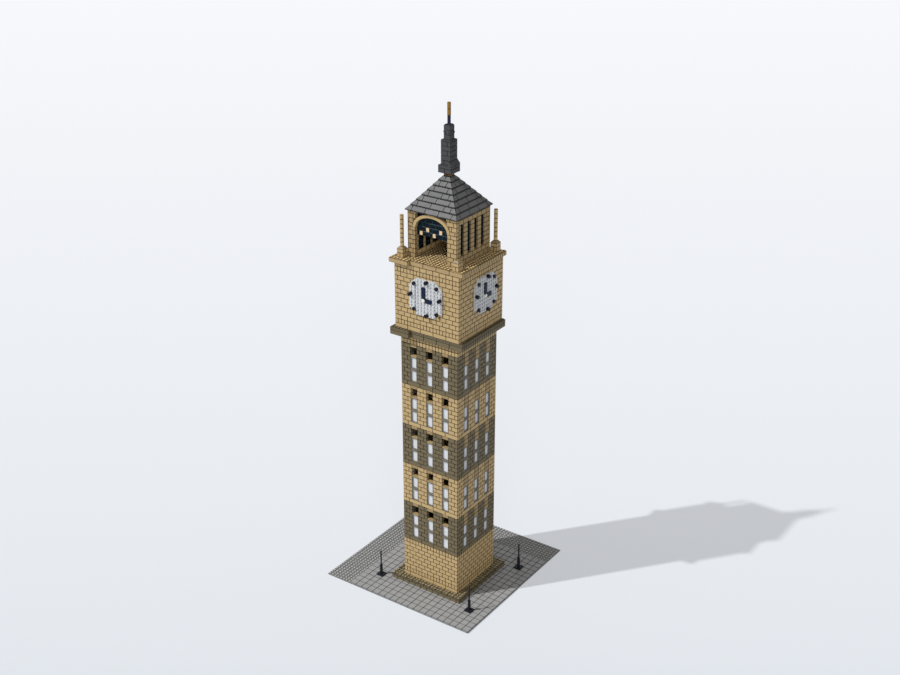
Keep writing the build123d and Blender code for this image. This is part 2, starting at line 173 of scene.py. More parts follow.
def set_out(name, layout, face_finish, seam_finish, variation=0.03, tones=None, level=0.0):
    """Lays a copy of each model, with its own mesh, at every place and joins them.

    A copy is as light as its model's own tone, the level of the whole piece and
    a random part within the variation make it; 0 is the colour of the finish.
    """
    copies = []
    for model, places in layout:
        for place in places:
            piece = model.copy()
            piece.data = model.data.copy()
            piece.data.transform(place)
            own_tone = (tones or {}).get(model.name, 0)
            shade = own_tone + level + random.uniform(-variation, variation)
            tone = piece.data.attributes.new("tone", "FLOAT", "POINT")
            tone.data.foreach_set("value", [shade] * len(piece.data.vertices))
            bpy.context.collection.objects.link(piece)
            copies.append(piece)
    bpy.ops.object.select_all(action="DESELECT")
    for piece in copies:
        piece.select_set(True)
    bpy.context.view_layer.objects.active = copies[0]
    bpy.ops.object.join()
    whole = bpy.context.object
    whole.name = name
    whole.data.name = name
    whole.data.materials[0] = face_finish
    whole.data.materials[1] = seam_finish
    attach(whole, "root")
    return whole


def finish_node(name, finish):
    """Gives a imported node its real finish."""
    for slot in bpy.data.objects[name].material_slots:
        slot.material = finish


def model_stud(name, radius=0.0024, height=0.0017, sides=14):
    """A moulded stud with a softened top edge, standing on the origin; its sides take the seam's
    dark finish as painted shade.
    """
    stud = start_model(
        name, "primitive_cylinder_add", vertices=sides, radius=radius, depth=height,
        location=(0, 0, height / 2),
    )
    # Painted shade: the sides take the dark seam finish, for the shade round the stud's foot.
    pick(stud, lambda normal: abs(normal.z) < 0.1)
    stud.active_material_index = 1
    bpy.ops.object.material_slot_assign()
    pick(stud, lambda normal: normal.z > 0.9)
    soften(FINE_EDGE, slot=-1)
    bpy.ops.object.mode_set(mode="OBJECT")
    bpy.ops.object.shade_smooth_by_angle(angle=math.radians(50))
    return stud


stud = model_stud("stud")


def stud_places(x_range, y_range, height, wanted):
    """A stud on the middle of every wanted cell between two corners, in metres."""
    places = []
    for column in range(round((x_range[1] - x_range[0]) / STUD)):
        for row in range(round((y_range[1] - y_range[0]) / STUD)):
            x = x_range[0] + (column + 0.5) * STUD
            y = y_range[0] + (row + 0.5) * STUD
            if wanted(x, y):
                places.append(Matrix.Translation((x, y, height)))
    return places


# The sheet is a cool matt grey; the sides of its studs are drawn darker, a painted shade round
# each stud's foot.
base_grey = moulded_abs("grey_abs_baseplate", "#7C7C7B")
base_stud_painted_shade = moulded_abs("grey_abs_baseplate_stud_painted_shade", "#4A4A49", roughness=0.5)
finish_node("baseplate", base_grey)
bare_strips = stud_places(
    (base_low[0], base_high[0]), (base_low[1], base_high[1]), base_high[2],
    lambda x, y: x < paving_low[0] or y > paving_high[1],
)
set_out(
    "baseplate_studs", [(stud, bare_strips)], base_grey, base_stud_painted_shade,
    variation=0.01, level=BASE_STUD_PAINTED_HIGHLIGHT,
)

# ==== Paving tiles ============================================
# Flat grey ABS tiles, two studs square and one plate thick, pressed on one by
# one in straight rows; narrow ones close the rows against the plinth.

TILE_EDGE = 0.00065

plinth_low, plinth_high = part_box("plinth")


def model_block(name, length, width, height, edge):
    """A brick, plate or tile without studs: a box whose rounded edges show as seams."""
    size = (length * STUD - SEAM, width * STUD - SEAM, height - SEAM)
    block = start_model(
        name, "primitive_cube_add", size=1, scale=size, location=(0, 0, height / 2)
    )
    soften(edge)
    bpy.ops.object.mode_set(mode="OBJECT")
    return block


def open_cells(left, front):
    """The middles of the cells of a two-stud square that the plinth leaves open."""
    cells = []
    for x in (left + 0.5 * STUD, left + 1.5 * STUD):
        for y in (front + 0.5 * STUD, front + 1.5 * STUD):
            if not (plinth_low[0] < x < plinth_high[0] and plinth_low[1] < y < plinth_high[1]):
                cells.append((x, y))
    return cells


def tile_groups(cells):
    """The cells under each tile; three cells round a corner take a long and a small tile."""
    if len(cells) != 3:
        return [cells] if cells else []

    def neighbours(cell):
        gaps = [abs(cell[0] - other[0]) + abs(cell[1] - other[1]) for other in cells]
        return sum(gap < 1.5 * STUD for gap in gaps)

    corner = next(cell for cell in cells if neighbours(cell) == 3)
    small = [cell for cell in cells if abs(cell[1] - corner[1]) > STUD / 2]
    return [[cell for cell in cells if cell not in small], small]


tiles = {}
for tile_x in range(round((paving_high[0] - paving_low[0]) / STUD) // 2):
    for tile_y in range(round((paving_high[1] - paving_low[1]) / STUD) // 2):
        cells = open_cells(paving_low[0] + 2 * tile_x * STUD, paving_low[1] + 2 * tile_y * STUD)
        for group in tile_groups(cells):
            (left, right), (front, back) = ((min(line), max(line)) for line in zip(*group))
            size = (round((right - left) / STUD) + 1, round((back - front) / STUD) + 1)
            middle = ((right + left) / 2, (back + front) / 2, paving_low[2])
            tiles.setdefault(size, []).append(Matrix.Translation(middle))

# Tiles come from a polished mould, so they shine more than bricks; their joints read dark.
tile_grey = moulded_abs("grey_abs_tile", "#969696", roughness=0.36)
tile_seam = moulded_abs("grey_abs_tile_edge", "#2B2B2B", roughness=0.5)
tile_thick = paving_high[2] - paving_low[2]
tile_layout = []
for (length, width), places in tiles.items():
    tile = model_block(f"tile_{length}x{width}", length, width, tile_thick, TILE_EDGE)
    tile_layout.append((tile, places))
paving = set_out("paving_tiles_laid", tile_layout, tile_grey, tile_seam)
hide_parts("paving_tiles")

# ==== Plinth ==================================================
# A ring of olive ABS bricks, five studs wide, pressed on the base round the foot
# of the walls; the plates on top of it break joint with the bricks.

RING_X = (-12, 11)  # studs from the tower's axis
RING_Y = (-11, 12)
RING_WIDTH = 5
BLOCK_EDGE = 0.0006
SHORTEST = 0.3  # a brick is never shorter than this, in studs
HAIR = 0.0001  # two heights within this are the same
# Painted highlight: the plinth's studs are drawn much lighter than its bricks.
PLINTH_STUD_PAINTED_HIGHLIGHT = 0.8

shaft_low, shaft_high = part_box("base_storey")
axis_x = (shaft_low[0] + shaft_high[0]) / 2
axis_y = (shaft_low[1] + shaft_high[1]) / 2
blocks = {}


def fill(layout, x_range, y_range, foot, height, tag=""):
    """Adds one brick that fills a box: studs from the tower's axis, and metres up."""
    length = round(x_range[1] - x_range[0], 3)
    width = round(y_range[1] - y_range[0], 3)
    middle = (axis_x + sum(x_range) / 2 * STUD, axis_y + sum(y_range) / 2 * STUD, foot)
    key = (length, width, round(height, 5), tag)
    layout.setdefault(key, []).append(Matrix.Translation(middle))


def models_of(layout):
    """The modelled brick of every size in a layout, each made once, with its places."""
    pairs = []
    for key, places in layout.items():
        if key not in blocks:
            length, width, height, tag = key
            name = f"block{len(blocks)}{tag}"
            blocks[key] = model_block(name, length, width, height, BLOCK_EDGE)
        pairs.append((blocks[key], places))
    return pairs


def runs(start, end, first=None, step=2):
    """The bricks of one run: cut at the first joint and then every few studs."""
    cuts = []
    cut = end if first is None else first
    while cut < end - SHORTEST:
        if cut > start + SHORTEST:
            cuts.append(cut)
        cut += step
    edges = [start, *cuts, end]
    return list(zip(edges, edges[1:]))


def courses(foot, top):
    """The foot and the height of each brick course between two heights."""
    steps = []
    while foot < top - HAIR:
        height = min(BRICK, top - foot)
        steps.append((foot, height))
        foot += height
    return steps


# Olive ABS with a soft gloss; the deep joints between its pieces read almost black.
plinth_olive = moulded_abs("olive_abs_plinth", "#71674F")
plinth_seam = moulded_abs("olive_abs_plinth_edge", "#100D06", roughness=0.6)
ring = {}
line = plinth_high[2] - PLATE
inner_y = (RING_Y[0] + RING_WIDTH, RING_Y[1] - RING_WIDTH)
for foot, height, shift in ((plinth_low[2], line - plinth_low[2], 0), (line, PLATE, 1)):
    for left, right in runs(*RING_X, RING_X[0] + 2 - shift):
        fill(ring, (left, right), (RING_Y[0], inner_y[0]), foot, height)
        fill(ring, (left, right), (inner_y[1], RING_Y[1]), foot, height)
    for front, back in runs(*inner_y, inner_y[0] + 2 - shift):
        fill(ring, (RING_X[0], RING_X[0] + RING_WIDTH), (front, back), foot, height)
        fill(ring, (RING_X[1] - RING_WIDTH, RING_X[1]), (front, back), foot, height)
plinth = set_out("plinth_laid", models_of(ring), plinth_olive, plinth_seam)
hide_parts("plinth")

rim = stud_places(
    (plinth_low[0], plinth_high[0]), (plinth_low[1], plinth_high[1]), plinth_high[2],
    lambda x, y: not (shaft_low[0] < x < shaft_high[0] and shaft_low[1] < y < shaft_high[1]),
)
set_out(
    "plinth_studs", [(stud, rim)], plinth_olive, plinth_seam,
    variation=0.01, level=PLINTH_STUD_PAINTED_HIGHLIGHT,
)

# ==== Walls of the shaft and the clock chamber ================
# Small ABS bricks one stud thick, pressed on course by course round a hollow core.
# Corners interlock, so each face starts a course one stud later than the last.

BRICK_EDGE = 0.00062
SHAFT_WIDTH = 18  # studs
WINDOW_COLUMNS = (3, 8, 13)  # studs from a face's left corner
WINDOW_WIDTH = 2

bricks = {}


def facing(face):
    """Turns what is laid for the front to a face: 0 front, 1 right, 2 back, 3 left."""
    return Matrix.Translation((axis_x, axis_y, 0)) @ Matrix.Rotation(face * math.pi / 2, 4, "Z")


def on_face(face, half, start, length, foot):
    """Where a brick lies on one face: studs from its left corner, then turned to that face."""
    spot = Vector(((start + length / 2) * STUD - half, -half + STUD / 2, foot))
    return facing(face) @ Matrix.Translation(spot)


def stretches(start, end, gaps):
    """What is left between two ends when the gaps are taken out."""
    edges = [start, *(edge for gap in gaps for edge in gap), end]
    return list(zip(edges[::2], edges[1::2]))


def lay_course(layout, half, foot, course, bond, piers):
    """Adds the bricks of one course on all four faces; the bond is the studs between joints."""
    width = round(2 * half / STUD)
    for face in range(4):
        first = (course + face) % 2
        last = width - first
        shift = first if bond == 2 else 0
        if bond == 4 and width % 4 == 2:
            shift += 2
        for pier_start, pier_end in piers:
            start = max(pier_start, first)
            end = min(pier_end, last)
            cuts = [cut for cut in range(start + 1, end) if (cut - shift) % bond == 0]
            edges = [start, *cuts, end]
            for left, right in zip(edges, edges[1:]):
                if right > left:
                    place = on_face(face, half, left, right - left, foot)
                    layout.setdefault(right - left, []).append(place)


def brick_of(length):
    """The modelled brick of one length, made once."""
    if length not in bricks:
        bricks[length] = model_block(f"brick_1x{length}", length, 1, BRICK, BRICK_EDGE)
    return bricks[length]


def build_walls(node_name, bonds, face_finish, seam_finish, piers=None):
    """Lays every course of one node's walls; only the lowest runs through under the openings."""
    low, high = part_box(node_name)
    half = (high[0] - low[0]) / 2
    whole = [(0, round(2 * half / STUD))]
    layout = {}
    for course, bond in enumerate(bonds):
        stretch = piers if piers and course > 0 else whole
        lay_course(layout, half, low[2] + course * BRICK, course, bond, stretch)
    walls = set_out(
        f"{node_name}_bricks", [(brick_of(length), places) for length, places in layout.items()],
        face_finish, seam_finish,
    )
    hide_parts(node_name)


# Tan and umber ABS look even and warm, with a soft gloss that blurs what they reflect;
# their joints read dark brown and nearly black.
tan = moulded_abs("tan_abs_brick", "#B49B70")
tan_seam = moulded_abs("tan_abs_brick_edge", "#35260C", roughness=0.6)
umber = moulded_abs("umber_abs_brick", "#6C6149")
umber_seam = moulded_abs("umber_abs_brick_edge", "#0E0B06", roughness=0.6)

window_gaps = [(column, column + WINDOW_WIDTH) for column in WINDOW_COLUMNS]
window_piers = stretches(0, SHAFT_WIDTH, window_gaps)
build_walls("base_storey", [4, 1] + [2] * 7 + [1], tan, tan_seam)
for storey in range(1, 6):
    colours = (umber, umber_seam) if storey % 2 == 1 else (tan, tan_seam)
    build_walls(f"storey_{storey}_walls", [4] + [2] * 9, *colours, piers=window_piers)
build_walls("shaft_frieze", [1, 1], tan, tan_seam)
build_walls("clock_chamber_walls", [4, 1] + [2] * 11 + [1, 2], tan, tan_seam)

# ==== Windows, sills and head panels ==========================
# Two-wide smoked ABS window frames, stacked in pairs and pressed into the wall,
# each with a clear pane drawn pale; tan plates and bricks close the column above them.

FRAME_HEAD = 21 * PLATE  # from a storey's foot to the top of its frames
SLOT_PLATES = (0, 7, 8)  # plates up from there: the open slot's sill and two lintels
PANEL_BRICKS = (0, 3, 6)  # the three bricks of a closed head panel
# Painted shade: the sills and lintels are drawn darker than the wall's tan.
SILL_PAINTED_SHADE = -0.15
PANEL_PAINTED_SHADE = -0.3  # painted shade: set back between the piers, the panels are drawn darker, as in their shade

# The smoked frames are a matt warm grey.  The clear panes are drawn an even pale
# grey, a painted reflection in place of the glass, under a skin that is glossier than the bricks.
frame_grey = moulded_abs("smoked_abs_window_frame", "#6E695E")
pane_clear = moulded_abs(
    "clear_pane_painted_reflection", "#CFD2D6", roughness=0.22, wear=0.03, depth=0.05, sheen=0.5
)
finish_node("window_frames", frame_grey)
finish_node("window_panes", pane_clear)

flat_plates = {}


def piece_of(length, kind):
    """A brick or a plate of one length, made once."""
    if kind == "brick":
        return brick_of(length)
    if length not in flat_plates:
        flat_plates[length] = model_block(f"plate_1x{length}", length, 1, PLATE, FINE_EDGE)
    return flat_plates[length]


shaft_half = (shaft_high[0] - shaft_low[0]) / 2
sill_places = []
head_places = []
for storey in range(1, 6):
    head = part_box(f"storey_{storey}_walls")[0][2] + FRAME_HEAD
    for column in WINDOW_COLUMNS:
        # The front and the back have open slots, the two sides closed panels.
        for faces, lifts, spots in (
            ((0, 2), SLOT_PLATES, sill_places), ((1, 3), PANEL_BRICKS, head_places)
        ):
            for face in faces:
                for lift in lifts:
                    foot = head + lift * PLATE
                    spots.append(on_face(face, shaft_half, column, WINDOW_WIDTH, foot))
sills = set_out(
    "sill_and_lintel_plates", [(piece_of(WINDOW_WIDTH, "plate"), sill_places)],
    tan, tan_seam, level=SILL_PAINTED_SHADE,
)
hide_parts("slot_sills_and_lintels")
heads = set_out(
    "head_panel_bricks", [(brick_of(WINDOW_WIDTH), head_places)],
    tan, tan_seam, level=PANEL_PAINTED_SHADE,
)
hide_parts("window_head_panels")

# ==== Cornices and decks ======================================
# Rows of long ABS bricks and plates pressed on across the tower, so the front shows
# their sides and the right face their ends; studs stay bare on top.

CORNICE_X = (-11, 11)  # studs from the tower's axis
CORNICE_Y = (-10, 10)
CORNER_BLOCK = (-11, -5)  # the one stretch of the row in front of the others
CORNICE_JOINTS = (-9, -5, -1, 3, 7)
CORNICE_CORE = 8
UPPER_CORNICE_LEVEL = -0.15
DECK_STUD_PAINTED_HIGHLIGHT = 0.5  # painted highlight: the studs are drawn lighter than the sheet they stand on


def lay_rows(layout, foot, kind, core_half):
    """Adds one layer of rows across the cornice outline, round an open square core."""
    for row in range(CORNICE_Y[0] - 1, CORNICE_Y[1]):
        joints = CORNICE_JOINTS
        if row < CORNICE_Y[0]:
            joints = ()
            spans = [CORNER_BLOCK]
        elif core_half and -core_half <= row < core_half:
            spans = stretches(*CORNICE_X, [(-core_half, core_half)])
        else:
            spans = [CORNICE_X]
        for start, end in spans:
            edges = [start, *(cut for cut in joints if start < cut < end), end]
            for left, right in zip(edges, edges[1:]):
                x = axis_x + (left + right) / 2 * STUD
                y = axis_y + (row + 0.5) * STUD
                place = Matrix.Translation((x, y, foot))
                layout.setdefault((right - left, kind), []).append(place)


def build_rows(node_name, layers, face_finish, seam_finish, core_half, level=0.0):
    """Lays the rows of one cornice node, layer by layer, in that node's place."""
    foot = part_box(node_name)[0][2]
    layout = {}
    for kind in layers:
        lay_rows(layout, foot, kind, core_half)
        foot += BRICK if kind == "brick" else PLATE
    rows = set_out(
        f"{node_name}_rows", [(piece_of(*key), places) for key, places in layout.items()],
        face_finish, seam_finish, level=level,
    )
    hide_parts(node_name)


build_rows("lower_cornice", ["brick"], umber, umber_seam, CORNICE_CORE)
build_rows("clock_chamber_floor", ["plate", "plate"], umber, umber_seam, 0)
build_rows(
    "upper_cornice", ["brick"], tan, tan_seam, CORNICE_CORE, level=UPPER_CORNICE_LEVEL
)
# Painted shade: the deck's sheet is drawn darker than the tan round it, for the shade between its
# close-set studs.
finish_node("belfry_deck", moulded_abs("tan_abs_deck_plate_painted_shade", "#957F5B"))

floor_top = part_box("clock_chamber_floor")[1][2]
deck_low, deck_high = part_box("upper_cornice")
chamber_low, chamber_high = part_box("clock_chamber_walls")
chamber_half = (chamber_high[0] - chamber_low[0]) / 2


def in_outline(x, y):
    """Whether a cell lies on the cornice, whose front row is only its corner block."""
    return y > axis_y + CORNICE_Y[0] * STUD or x < axis_x + CORNER_BLOCK[1] * STUD


def ledge_cell(x, y):
    """Whether a cell of the chamber's floor lies outside the chamber walls."""
    return in_outline(x, y) and max(abs(x - axis_x), abs(y - axis_y)) > chamber_half


def deck_cell(x, y):
    """Whether a cell of the deck is clear of the belfry walls and the pinnacles."""
    door_half, wall_inside, wall_outside = 4.6, 5.9, 7.6
    lining_half, lining_front, lining_back = 6.4, 5.4, 7.8
    pinnacle_middle, pinnacle_reach = 8.5, 1.3
    across = abs(x - axis_x) / STUD
    along = (y - axis_y) / STUD
    doorway = along < 0 and across < door_half
    wall_line = wall_inside < max(across, abs(along)) < wall_outside and not doorway
    lining = across < lining_half and lining_front < along < lining_back
    corner_gap = max(abs(across - pinnacle_middle), abs(abs(along) - pinnacle_middle))
    pinnacle = corner_gap < pinnacle_reach
    return in_outline(x, y) and not wall_line and not pinnacle and not lining


cornice_outline = ((deck_low[0], deck_high[0]), (deck_low[1], deck_high[1]))
ledge_studs = stud_places(*cornice_outline, floor_top, ledge_cell)
set_out("chamber_floor_studs", [(stud, ledge_studs)], umber, umber_seam, variation=0.01)
deck_studs = stud_places(*cornice_outline, deck_high[2], deck_cell)
set_out(
    "belfry_deck_studs", [(stud, deck_studs)], tan, tan_seam,
    variation=0.01, level=DECK_STUD_PAINTED_HIGHLIGHT,
)

# ==== Clock dials =============================================
# White ABS plates turned on edge, so their studs face out; round navy plates
# mark the hours and longer ones make the two fixed hands on a cream hub.

SIDE_DIAL_SHIFT = 1.5  # studs off the middle, on the right and the left face
CENTRE_PLATE = (6, 10)  # studs across and up
SIDE_PLATE = (2, 6.4)
SIDE_PLATE_FOOT = -3.4
SIDE_PLATE_MIDDLES = (-4.08, 4)  # the left one leaves a joint that shows
WEDGE = 2
WEDGE_MIDDLE = 4
SLANT = 7.6  # across and up together, where a wedge's slant runs

# White ABS is a cool light grey in shade, with greyer joints.  Markers and hands are
# near-black navy; the hands and the hub come from a polished mould and glint.
dial_white = moulded_abs("white_abs_dial", "#C8CACC", roughness=0.4)
dial_seam = moulded_abs("white_abs_dial_edge", "#7E8084", roughness=0.4)
marker_navy = moulded_abs("navy_abs_marker", "#10101F", roughness=0.4)
hand_navy = moulded_abs("navy_abs_hand", "#0F1B36", roughness=0.25)
hub_cream = moulded_abs("cream_abs_hub", "#DCDDD0", roughness=0.25)
finish_node("dial_markers", marker_navy)
finish_node("clock_hands", hand_navy)
finish_node("clock_hubs", hub_cream)


def cut_model(point, normal):
    """Cuts the model in edit mode by a plane, closes it and drops what lies beyond."""
    bpy.ops.mesh.select_all(action="SELECT")
    bpy.ops.mesh.bisect(plane_co=point, plane_no=normal, use_fill=True, clear_outer=True)
    bpy.ops.mesh.select_all(action="SELECT")


def close_model():
    """Turns all faces of the model in edit mode outwards and leaves edit mode."""
    bpy.ops.mesh.select_all(action="SELECT")
    bpy.ops.mesh.normals_make_consistent(inside=False)
    bpy.ops.object.mode_set(mode="OBJECT")


def model_wedge(name, length, height, thick):
    """A wedge plate: a flat block cut corner to corner."""
    wedge = start_model(
        name, "primitive_cube_add", size=1, scale=(length, thick, height),
        location=(0, -thick / 2, 0),
    )
    cut_model((0, 0, 0), Vector((-height, 0, length)).normalized())
    soften(FINE_EDGE)
    close_model()
    return wedge


dial_low, dial_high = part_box("clock_dials")
dial_middle = (dial_low[2] + dial_high[2]) / 2
dial_face = (dial_high[0] - dial_low[0]) / 2


def on_dial(face, across, up, out):
    """Where a point of a dial lies: studs across and up from its centre, metres off the axis."""
    shift = SIDE_DIAL_SHIFT if face % 2 == 1 else 0
    spot = ((across + shift) * STUD, -out, dial_middle + up * STUD)
    return facing(face) @ Matrix.Translation(spot)


plate_studs = PLATE / STUD
centre_plate = model_block(
    "dial_centre_plate", CENTRE_PLATE[0], plate_studs, CENTRE_PLATE[1] * STUD, FINE_EDGE
)
side_plate = model_block(
    "dial_side_plate", SIDE_PLATE[0], plate_studs, SIDE_PLATE[1] * STUD, FINE_EDGE
)
wedge_plate = model_wedge("dial_wedge_plate", WEDGE * STUD, WEDGE * STUD, PLATE)
other_hand = Matrix.Rotation(math.pi / 2, 4, "Y")
plate_middle = dial_face - PLATE / 2
plate_back = dial_face - PLATE
centres = [on_dial(face, 0, -CENTRE_PLATE[1] / 2, plate_middle) for face in range(4)]
sides = [
    on_dial(face, across, SIDE_PLATE_FOOT, plate_middle)
    for face in range(4) for across in SIDE_PLATE_MIDDLES
]
wedges = [on_dial(face, -WEDGE_MIDDLE, WEDGE_MIDDLE, plate_back) for face in range(4)]
wedges += [
    on_dial(face, WEDGE_MIDDLE, WEDGE_MIDDLE, plate_back) @ other_hand for face in range(4)
]
dial_plates = set_out(
    "dial_plates", [(centre_plate, centres), (side_plate, sides), (wedge_plate, wedges)],
    dial_white, dial_seam,
)
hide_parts("clock_dials")

marker_cells = {(0.5, 4.5), (0.5, -4.5), (4.5, 0.5), (-4.5, 0.5)}
marker_cells |= {(across, up) for across in (-3.5, 3.5) for up in (-3.5, 3.5)}
hand_cells = {(-0.5, up) for up in (-0.5, 0.5, 1.5, 2.5)} | {(0.5, -0.5), (1.5, -0.5)}


def bare_dial_cell(across, up):
    """Whether a stud shows on a cell of the dial: no marker, hand or cut corner takes it."""
    cut_corner = abs(across) > CENTRE_PLATE[0] / 2 and (
        up > SLANT - abs(across) or up < SIDE_PLATE_FOOT
    )
    return (across, up) not in marker_cells | hand_cells and not cut_corner


outward = Matrix.Rotation(math.pi / 2, 4, "X")
dial_steps = [step - 4.5 for step in range(10)]
dial_studs = [
    on_dial(face, across, up, dial_face) @ outward
    for face in range(4) for across in dial_steps for up in dial_steps
    if bare_dial_cell(across, up)
]
set_out("dial_studs", [(stud, dial_studs)], dial_white, dial_seam, variation=0.02)

# ==== Belfry ==================================================
# Piers of tan ABS bricks carry one curved arch in front; three slotted walls stand
# behind it, and a navy lining and a hanging navy screen close the room.

BELFRY_HALF = 7.5  # studs from the axis to the outside of the walls
OPENING_HALF = 4.85  # half the opening under the arch
CROWN_HALF = 4.5  # the piers come no nearer to the arch's middle than this
ARCH_GAP = 0.04
PIER_JOINTS = (-0.4, 0.5)  # off a pier's middle, in turn
PIER_LEVEL = -0.06
LEFT_PIER_PAINTED_SHADE = -0.2
SLOT_HALF = 0.65
SLOT_COURSES = range(2, 9)
SLOT_PIER_DEPTH = 0.4
END_PIER_JOINT = 5.65  # the only joint in a slotted course, 0.9 further in every other one
BACK_WALL_HALF = 6.47  # just clear of the side walls
FIRST_JOINT = -5.5
BELFRY_WALL_LEVEL = -0.25
LINING_INSIDE, LINING_OUTSIDE = 6, 6.5
LINING_END, LINING_BACK = 5.5, 5.53  # of the side linings, and the front of the back one
POSTS = (-5.35, -2.3, 0.75)  # studs from the axis, along the left lining
POST_COURSES = range(1, 6)
SKIRTING_PAINTED_LIGHT = 0.6  # painted light: the foot course and the posts are drawn lighter, for the light that falls through the arch
SCREEN_HALF = 5.97
SCREEN_Y = (-6.5, -5.5)
SCREEN_LIFT = 15 * PLATE
SCREEN_JOINTS = (-3.5, -4.5, -5.5, -4.5)
CREAM_BRICKS = {0: (-4, 0), 1: (-2, 2)}  # where they lie in the screen's lowest courses

# Navy ABS, dark of itself and drawn nearly black with painted shade for the deep room;
# its joints are drawn blue-green, a painted highlight. The cream bricks are drawn paler
# than tan as painted sunlight, the palest thing in the room.
navy = moulded_abs("navy_abs_lining", "#060D18", roughness=0.5, sheen=0.15)
navy_joint_painted_highlight = moulded_abs("navy_abs_lining_edge_painted_highlight", "#1F4A52", roughness=0.5)
cream = moulded_abs("cream_abs_brick_painted_sunlight", "#D9C096")
finish_node("belfry_front_arch", tan)

room_foot, room_top = (corner[2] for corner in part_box("belfry_front_piers"))
arch_low, arch_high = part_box("belfry_front_arch")
arch_middle = ((arch_low[0] + arch_high[0]) / 2 - axis_x) / STUD
arch_half = (arch_high[0] - arch_low[0]) / 2 / STUD
arch_rise = arch_high[2] - arch_low[2]
spring = room_foot + 18 * PLATE  # the last full course under the arch ends here
resume = room_foot + 23 * PLATE  # and full courses go on from here


def pier_edge(foot):
    """How far from the arch's middle the piers start at a height, in studs."""
    if foot < arch_low[2] - HAIR:
        return OPENING_HALF
    share = (foot - arch_low[2]) / arch_rise
    return max(arch_half * math.sqrt(1 - share * share) + ARCH_GAP, CROWN_HALF)


def around(middles, half):
    """The stretch on both sides of each middle."""
    return [(middle - half, middle + half) for middle in middles]


# Walls are one stud thick on the low and on the high side of the axis, both ways.
low_wall = (-BELFRY_HALF, 1 - BELFRY_HALF)
high_wall = (BELFRY_HALF - 1, BELFRY_HALF)
piers = {}
pier_steps = [
    *courses(room_foot, spring), (spring, arch_low[2] - spring),
    (arch_low[2], resume - arch_low[2]), *courses(resume, room_top),
]
for number, (foot, height) in enumerate(pier_steps):
    reach = pier_edge(foot)
    gap = (arch_middle - reach, arch_middle + reach)
    for start, end in stretches(-BELFRY_HALF, BELFRY_HALF, [gap]):
        joint = (start + end) / 2 + PIER_JOINTS[number % 2]
        # A step longer than the pier leaves it one joint a course.
        for left, right in runs(start, end, joint, step=BELFRY_HALF):
            tag = "_left" if start < 0 else "_right"
            fill(piers, (left, right), low_wall, foot, height, tag)
pier_models = models_of(piers)
# Painted shade: the left pier is drawn darker, for the arch's shade on it.
pier_painted_shade = {
    model.name: LEFT_PIER_PAINTED_SHADE for model, places in pier_models if model.name.endswith("_left")
}
pier_bricks = set_out(
    "belfry_pier_bricks", pier_models, tan, tan_seam, level=PIER_LEVEL, tones=pier_painted_shade
)
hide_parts("belfry_front_piers")

walls = {}
side_slots = around((-5, -2, 1, 4), SLOT_HALF)
back_slots = around((-4.5, -1.5, 1.5, 4.5), SLOT_HALF)
# Between the side slots only a skin of the piers is drawn, flush with the outside, so
# that the slots look as wide from a slant as they do from straight ahead.
pier_skins = (
    (-BELFRY_HALF, SLOT_PIER_DEPTH - BELFRY_HALF), (BELFRY_HALF - SLOT_PIER_DEPTH, BELFRY_HALF)
)
for number, (foot, height) in enumerate(courses(room_foot, room_top)):
    slotted = number in SLOT_COURSES
    joint = FIRST_JOINT + number % 2
    for depth in pier_skins if slotted else (low_wall, high_wall):
        for start, end in stretches(low_wall[1], BELFRY_HALF, side_slots if slotted else []):
            first = END_PIER_JOINT + 0.9 * (number % 2) if slotted else joint
            for front, back in runs(start, end, first):
                fill(walls, depth, (front, back), foot, height)
    for start, end in stretches(-BACK_WALL_HALF, BACK_WALL_HALF, back_slots if slotted else []):
        for left, right in runs(start, end, None if slotted else joint):
            fill(walls, (left, right), high_wall, foot, height)
wall_bricks = set_out(
    "belfry_wall_bricks", models_of(walls), tan, tan_seam, level=BELFRY_WALL_LEVEL
)
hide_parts("belfry_slotted_walls")

skirting = {}
lining = {}
post_boxes = around(POSTS, 0.5)
for number, (foot, height) in enumerate(courses(room_foot, room_top)):
    layout = skirting if number == 0 else lining
    joint = FIRST_JOINT + number % 2
    posts = post_boxes if number in POST_COURSES else []
    for start, end in stretches(-LINING_OUTSIDE, LINING_END, posts):
        for front, back in runs(start, end, joint):
            fill(layout, (-LINING_OUTSIDE, -LINING_INSIDE), (front, back), foot, height)
    for front, back in runs(-LINING_OUTSIDE, LINING_END, joint):
        fill(layout, (LINING_INSIDE, LINING_OUTSIDE), (front, back), foot, height)
    for left, right in runs(-LINING_OUTSIDE, LINING_OUTSIDE, joint):
        fill(layout, (left, right), (LINING_BACK, LINING_OUTSIDE), foot, height)
    for post in posts:
        fill(skirting, (-LINING_OUTSIDE, -LINING_INSIDE), post, foot, height)
screen_cream = {}
for number, (foot, height) in enumerate(courses(room_foot + SCREEN_LIFT, room_top)):
    creams = around(CREAM_BRICKS.get(number, ()), 0.5)
    for start, end in stretches(-SCREEN_HALF, SCREEN_HALF, creams):
        for left, right in runs(start, end, SCREEN_JOINTS[number % 4]):
            fill(lining, (left, right), SCREEN_Y, foot, height)
    for cream_box in creams:
        fill(screen_cream, cream_box, SCREEN_Y, foot, height)
skirting_bricks = set_out(
    "belfry_skirting_bricks", models_of(skirting), tan, tan_seam, level=SKIRTING_PAINTED_LIGHT
)
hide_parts("belfry_skirting")
lining_bricks = set_out("belfry_lining_bricks", models_of(lining), navy, navy_joint_painted_highlight)
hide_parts("belfry_lining")
cream_bricks = set_out("belfry_screen_cream_bricks", models_of(screen_cream), cream, tan_seam)
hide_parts("belfry_ledge_bricks")

# ==== Pinnacles ===============================================
# Two courses of small tan ABS bricks under a sloping cap are pressed on each corner
# of the deck; three carry a column of round bricks.

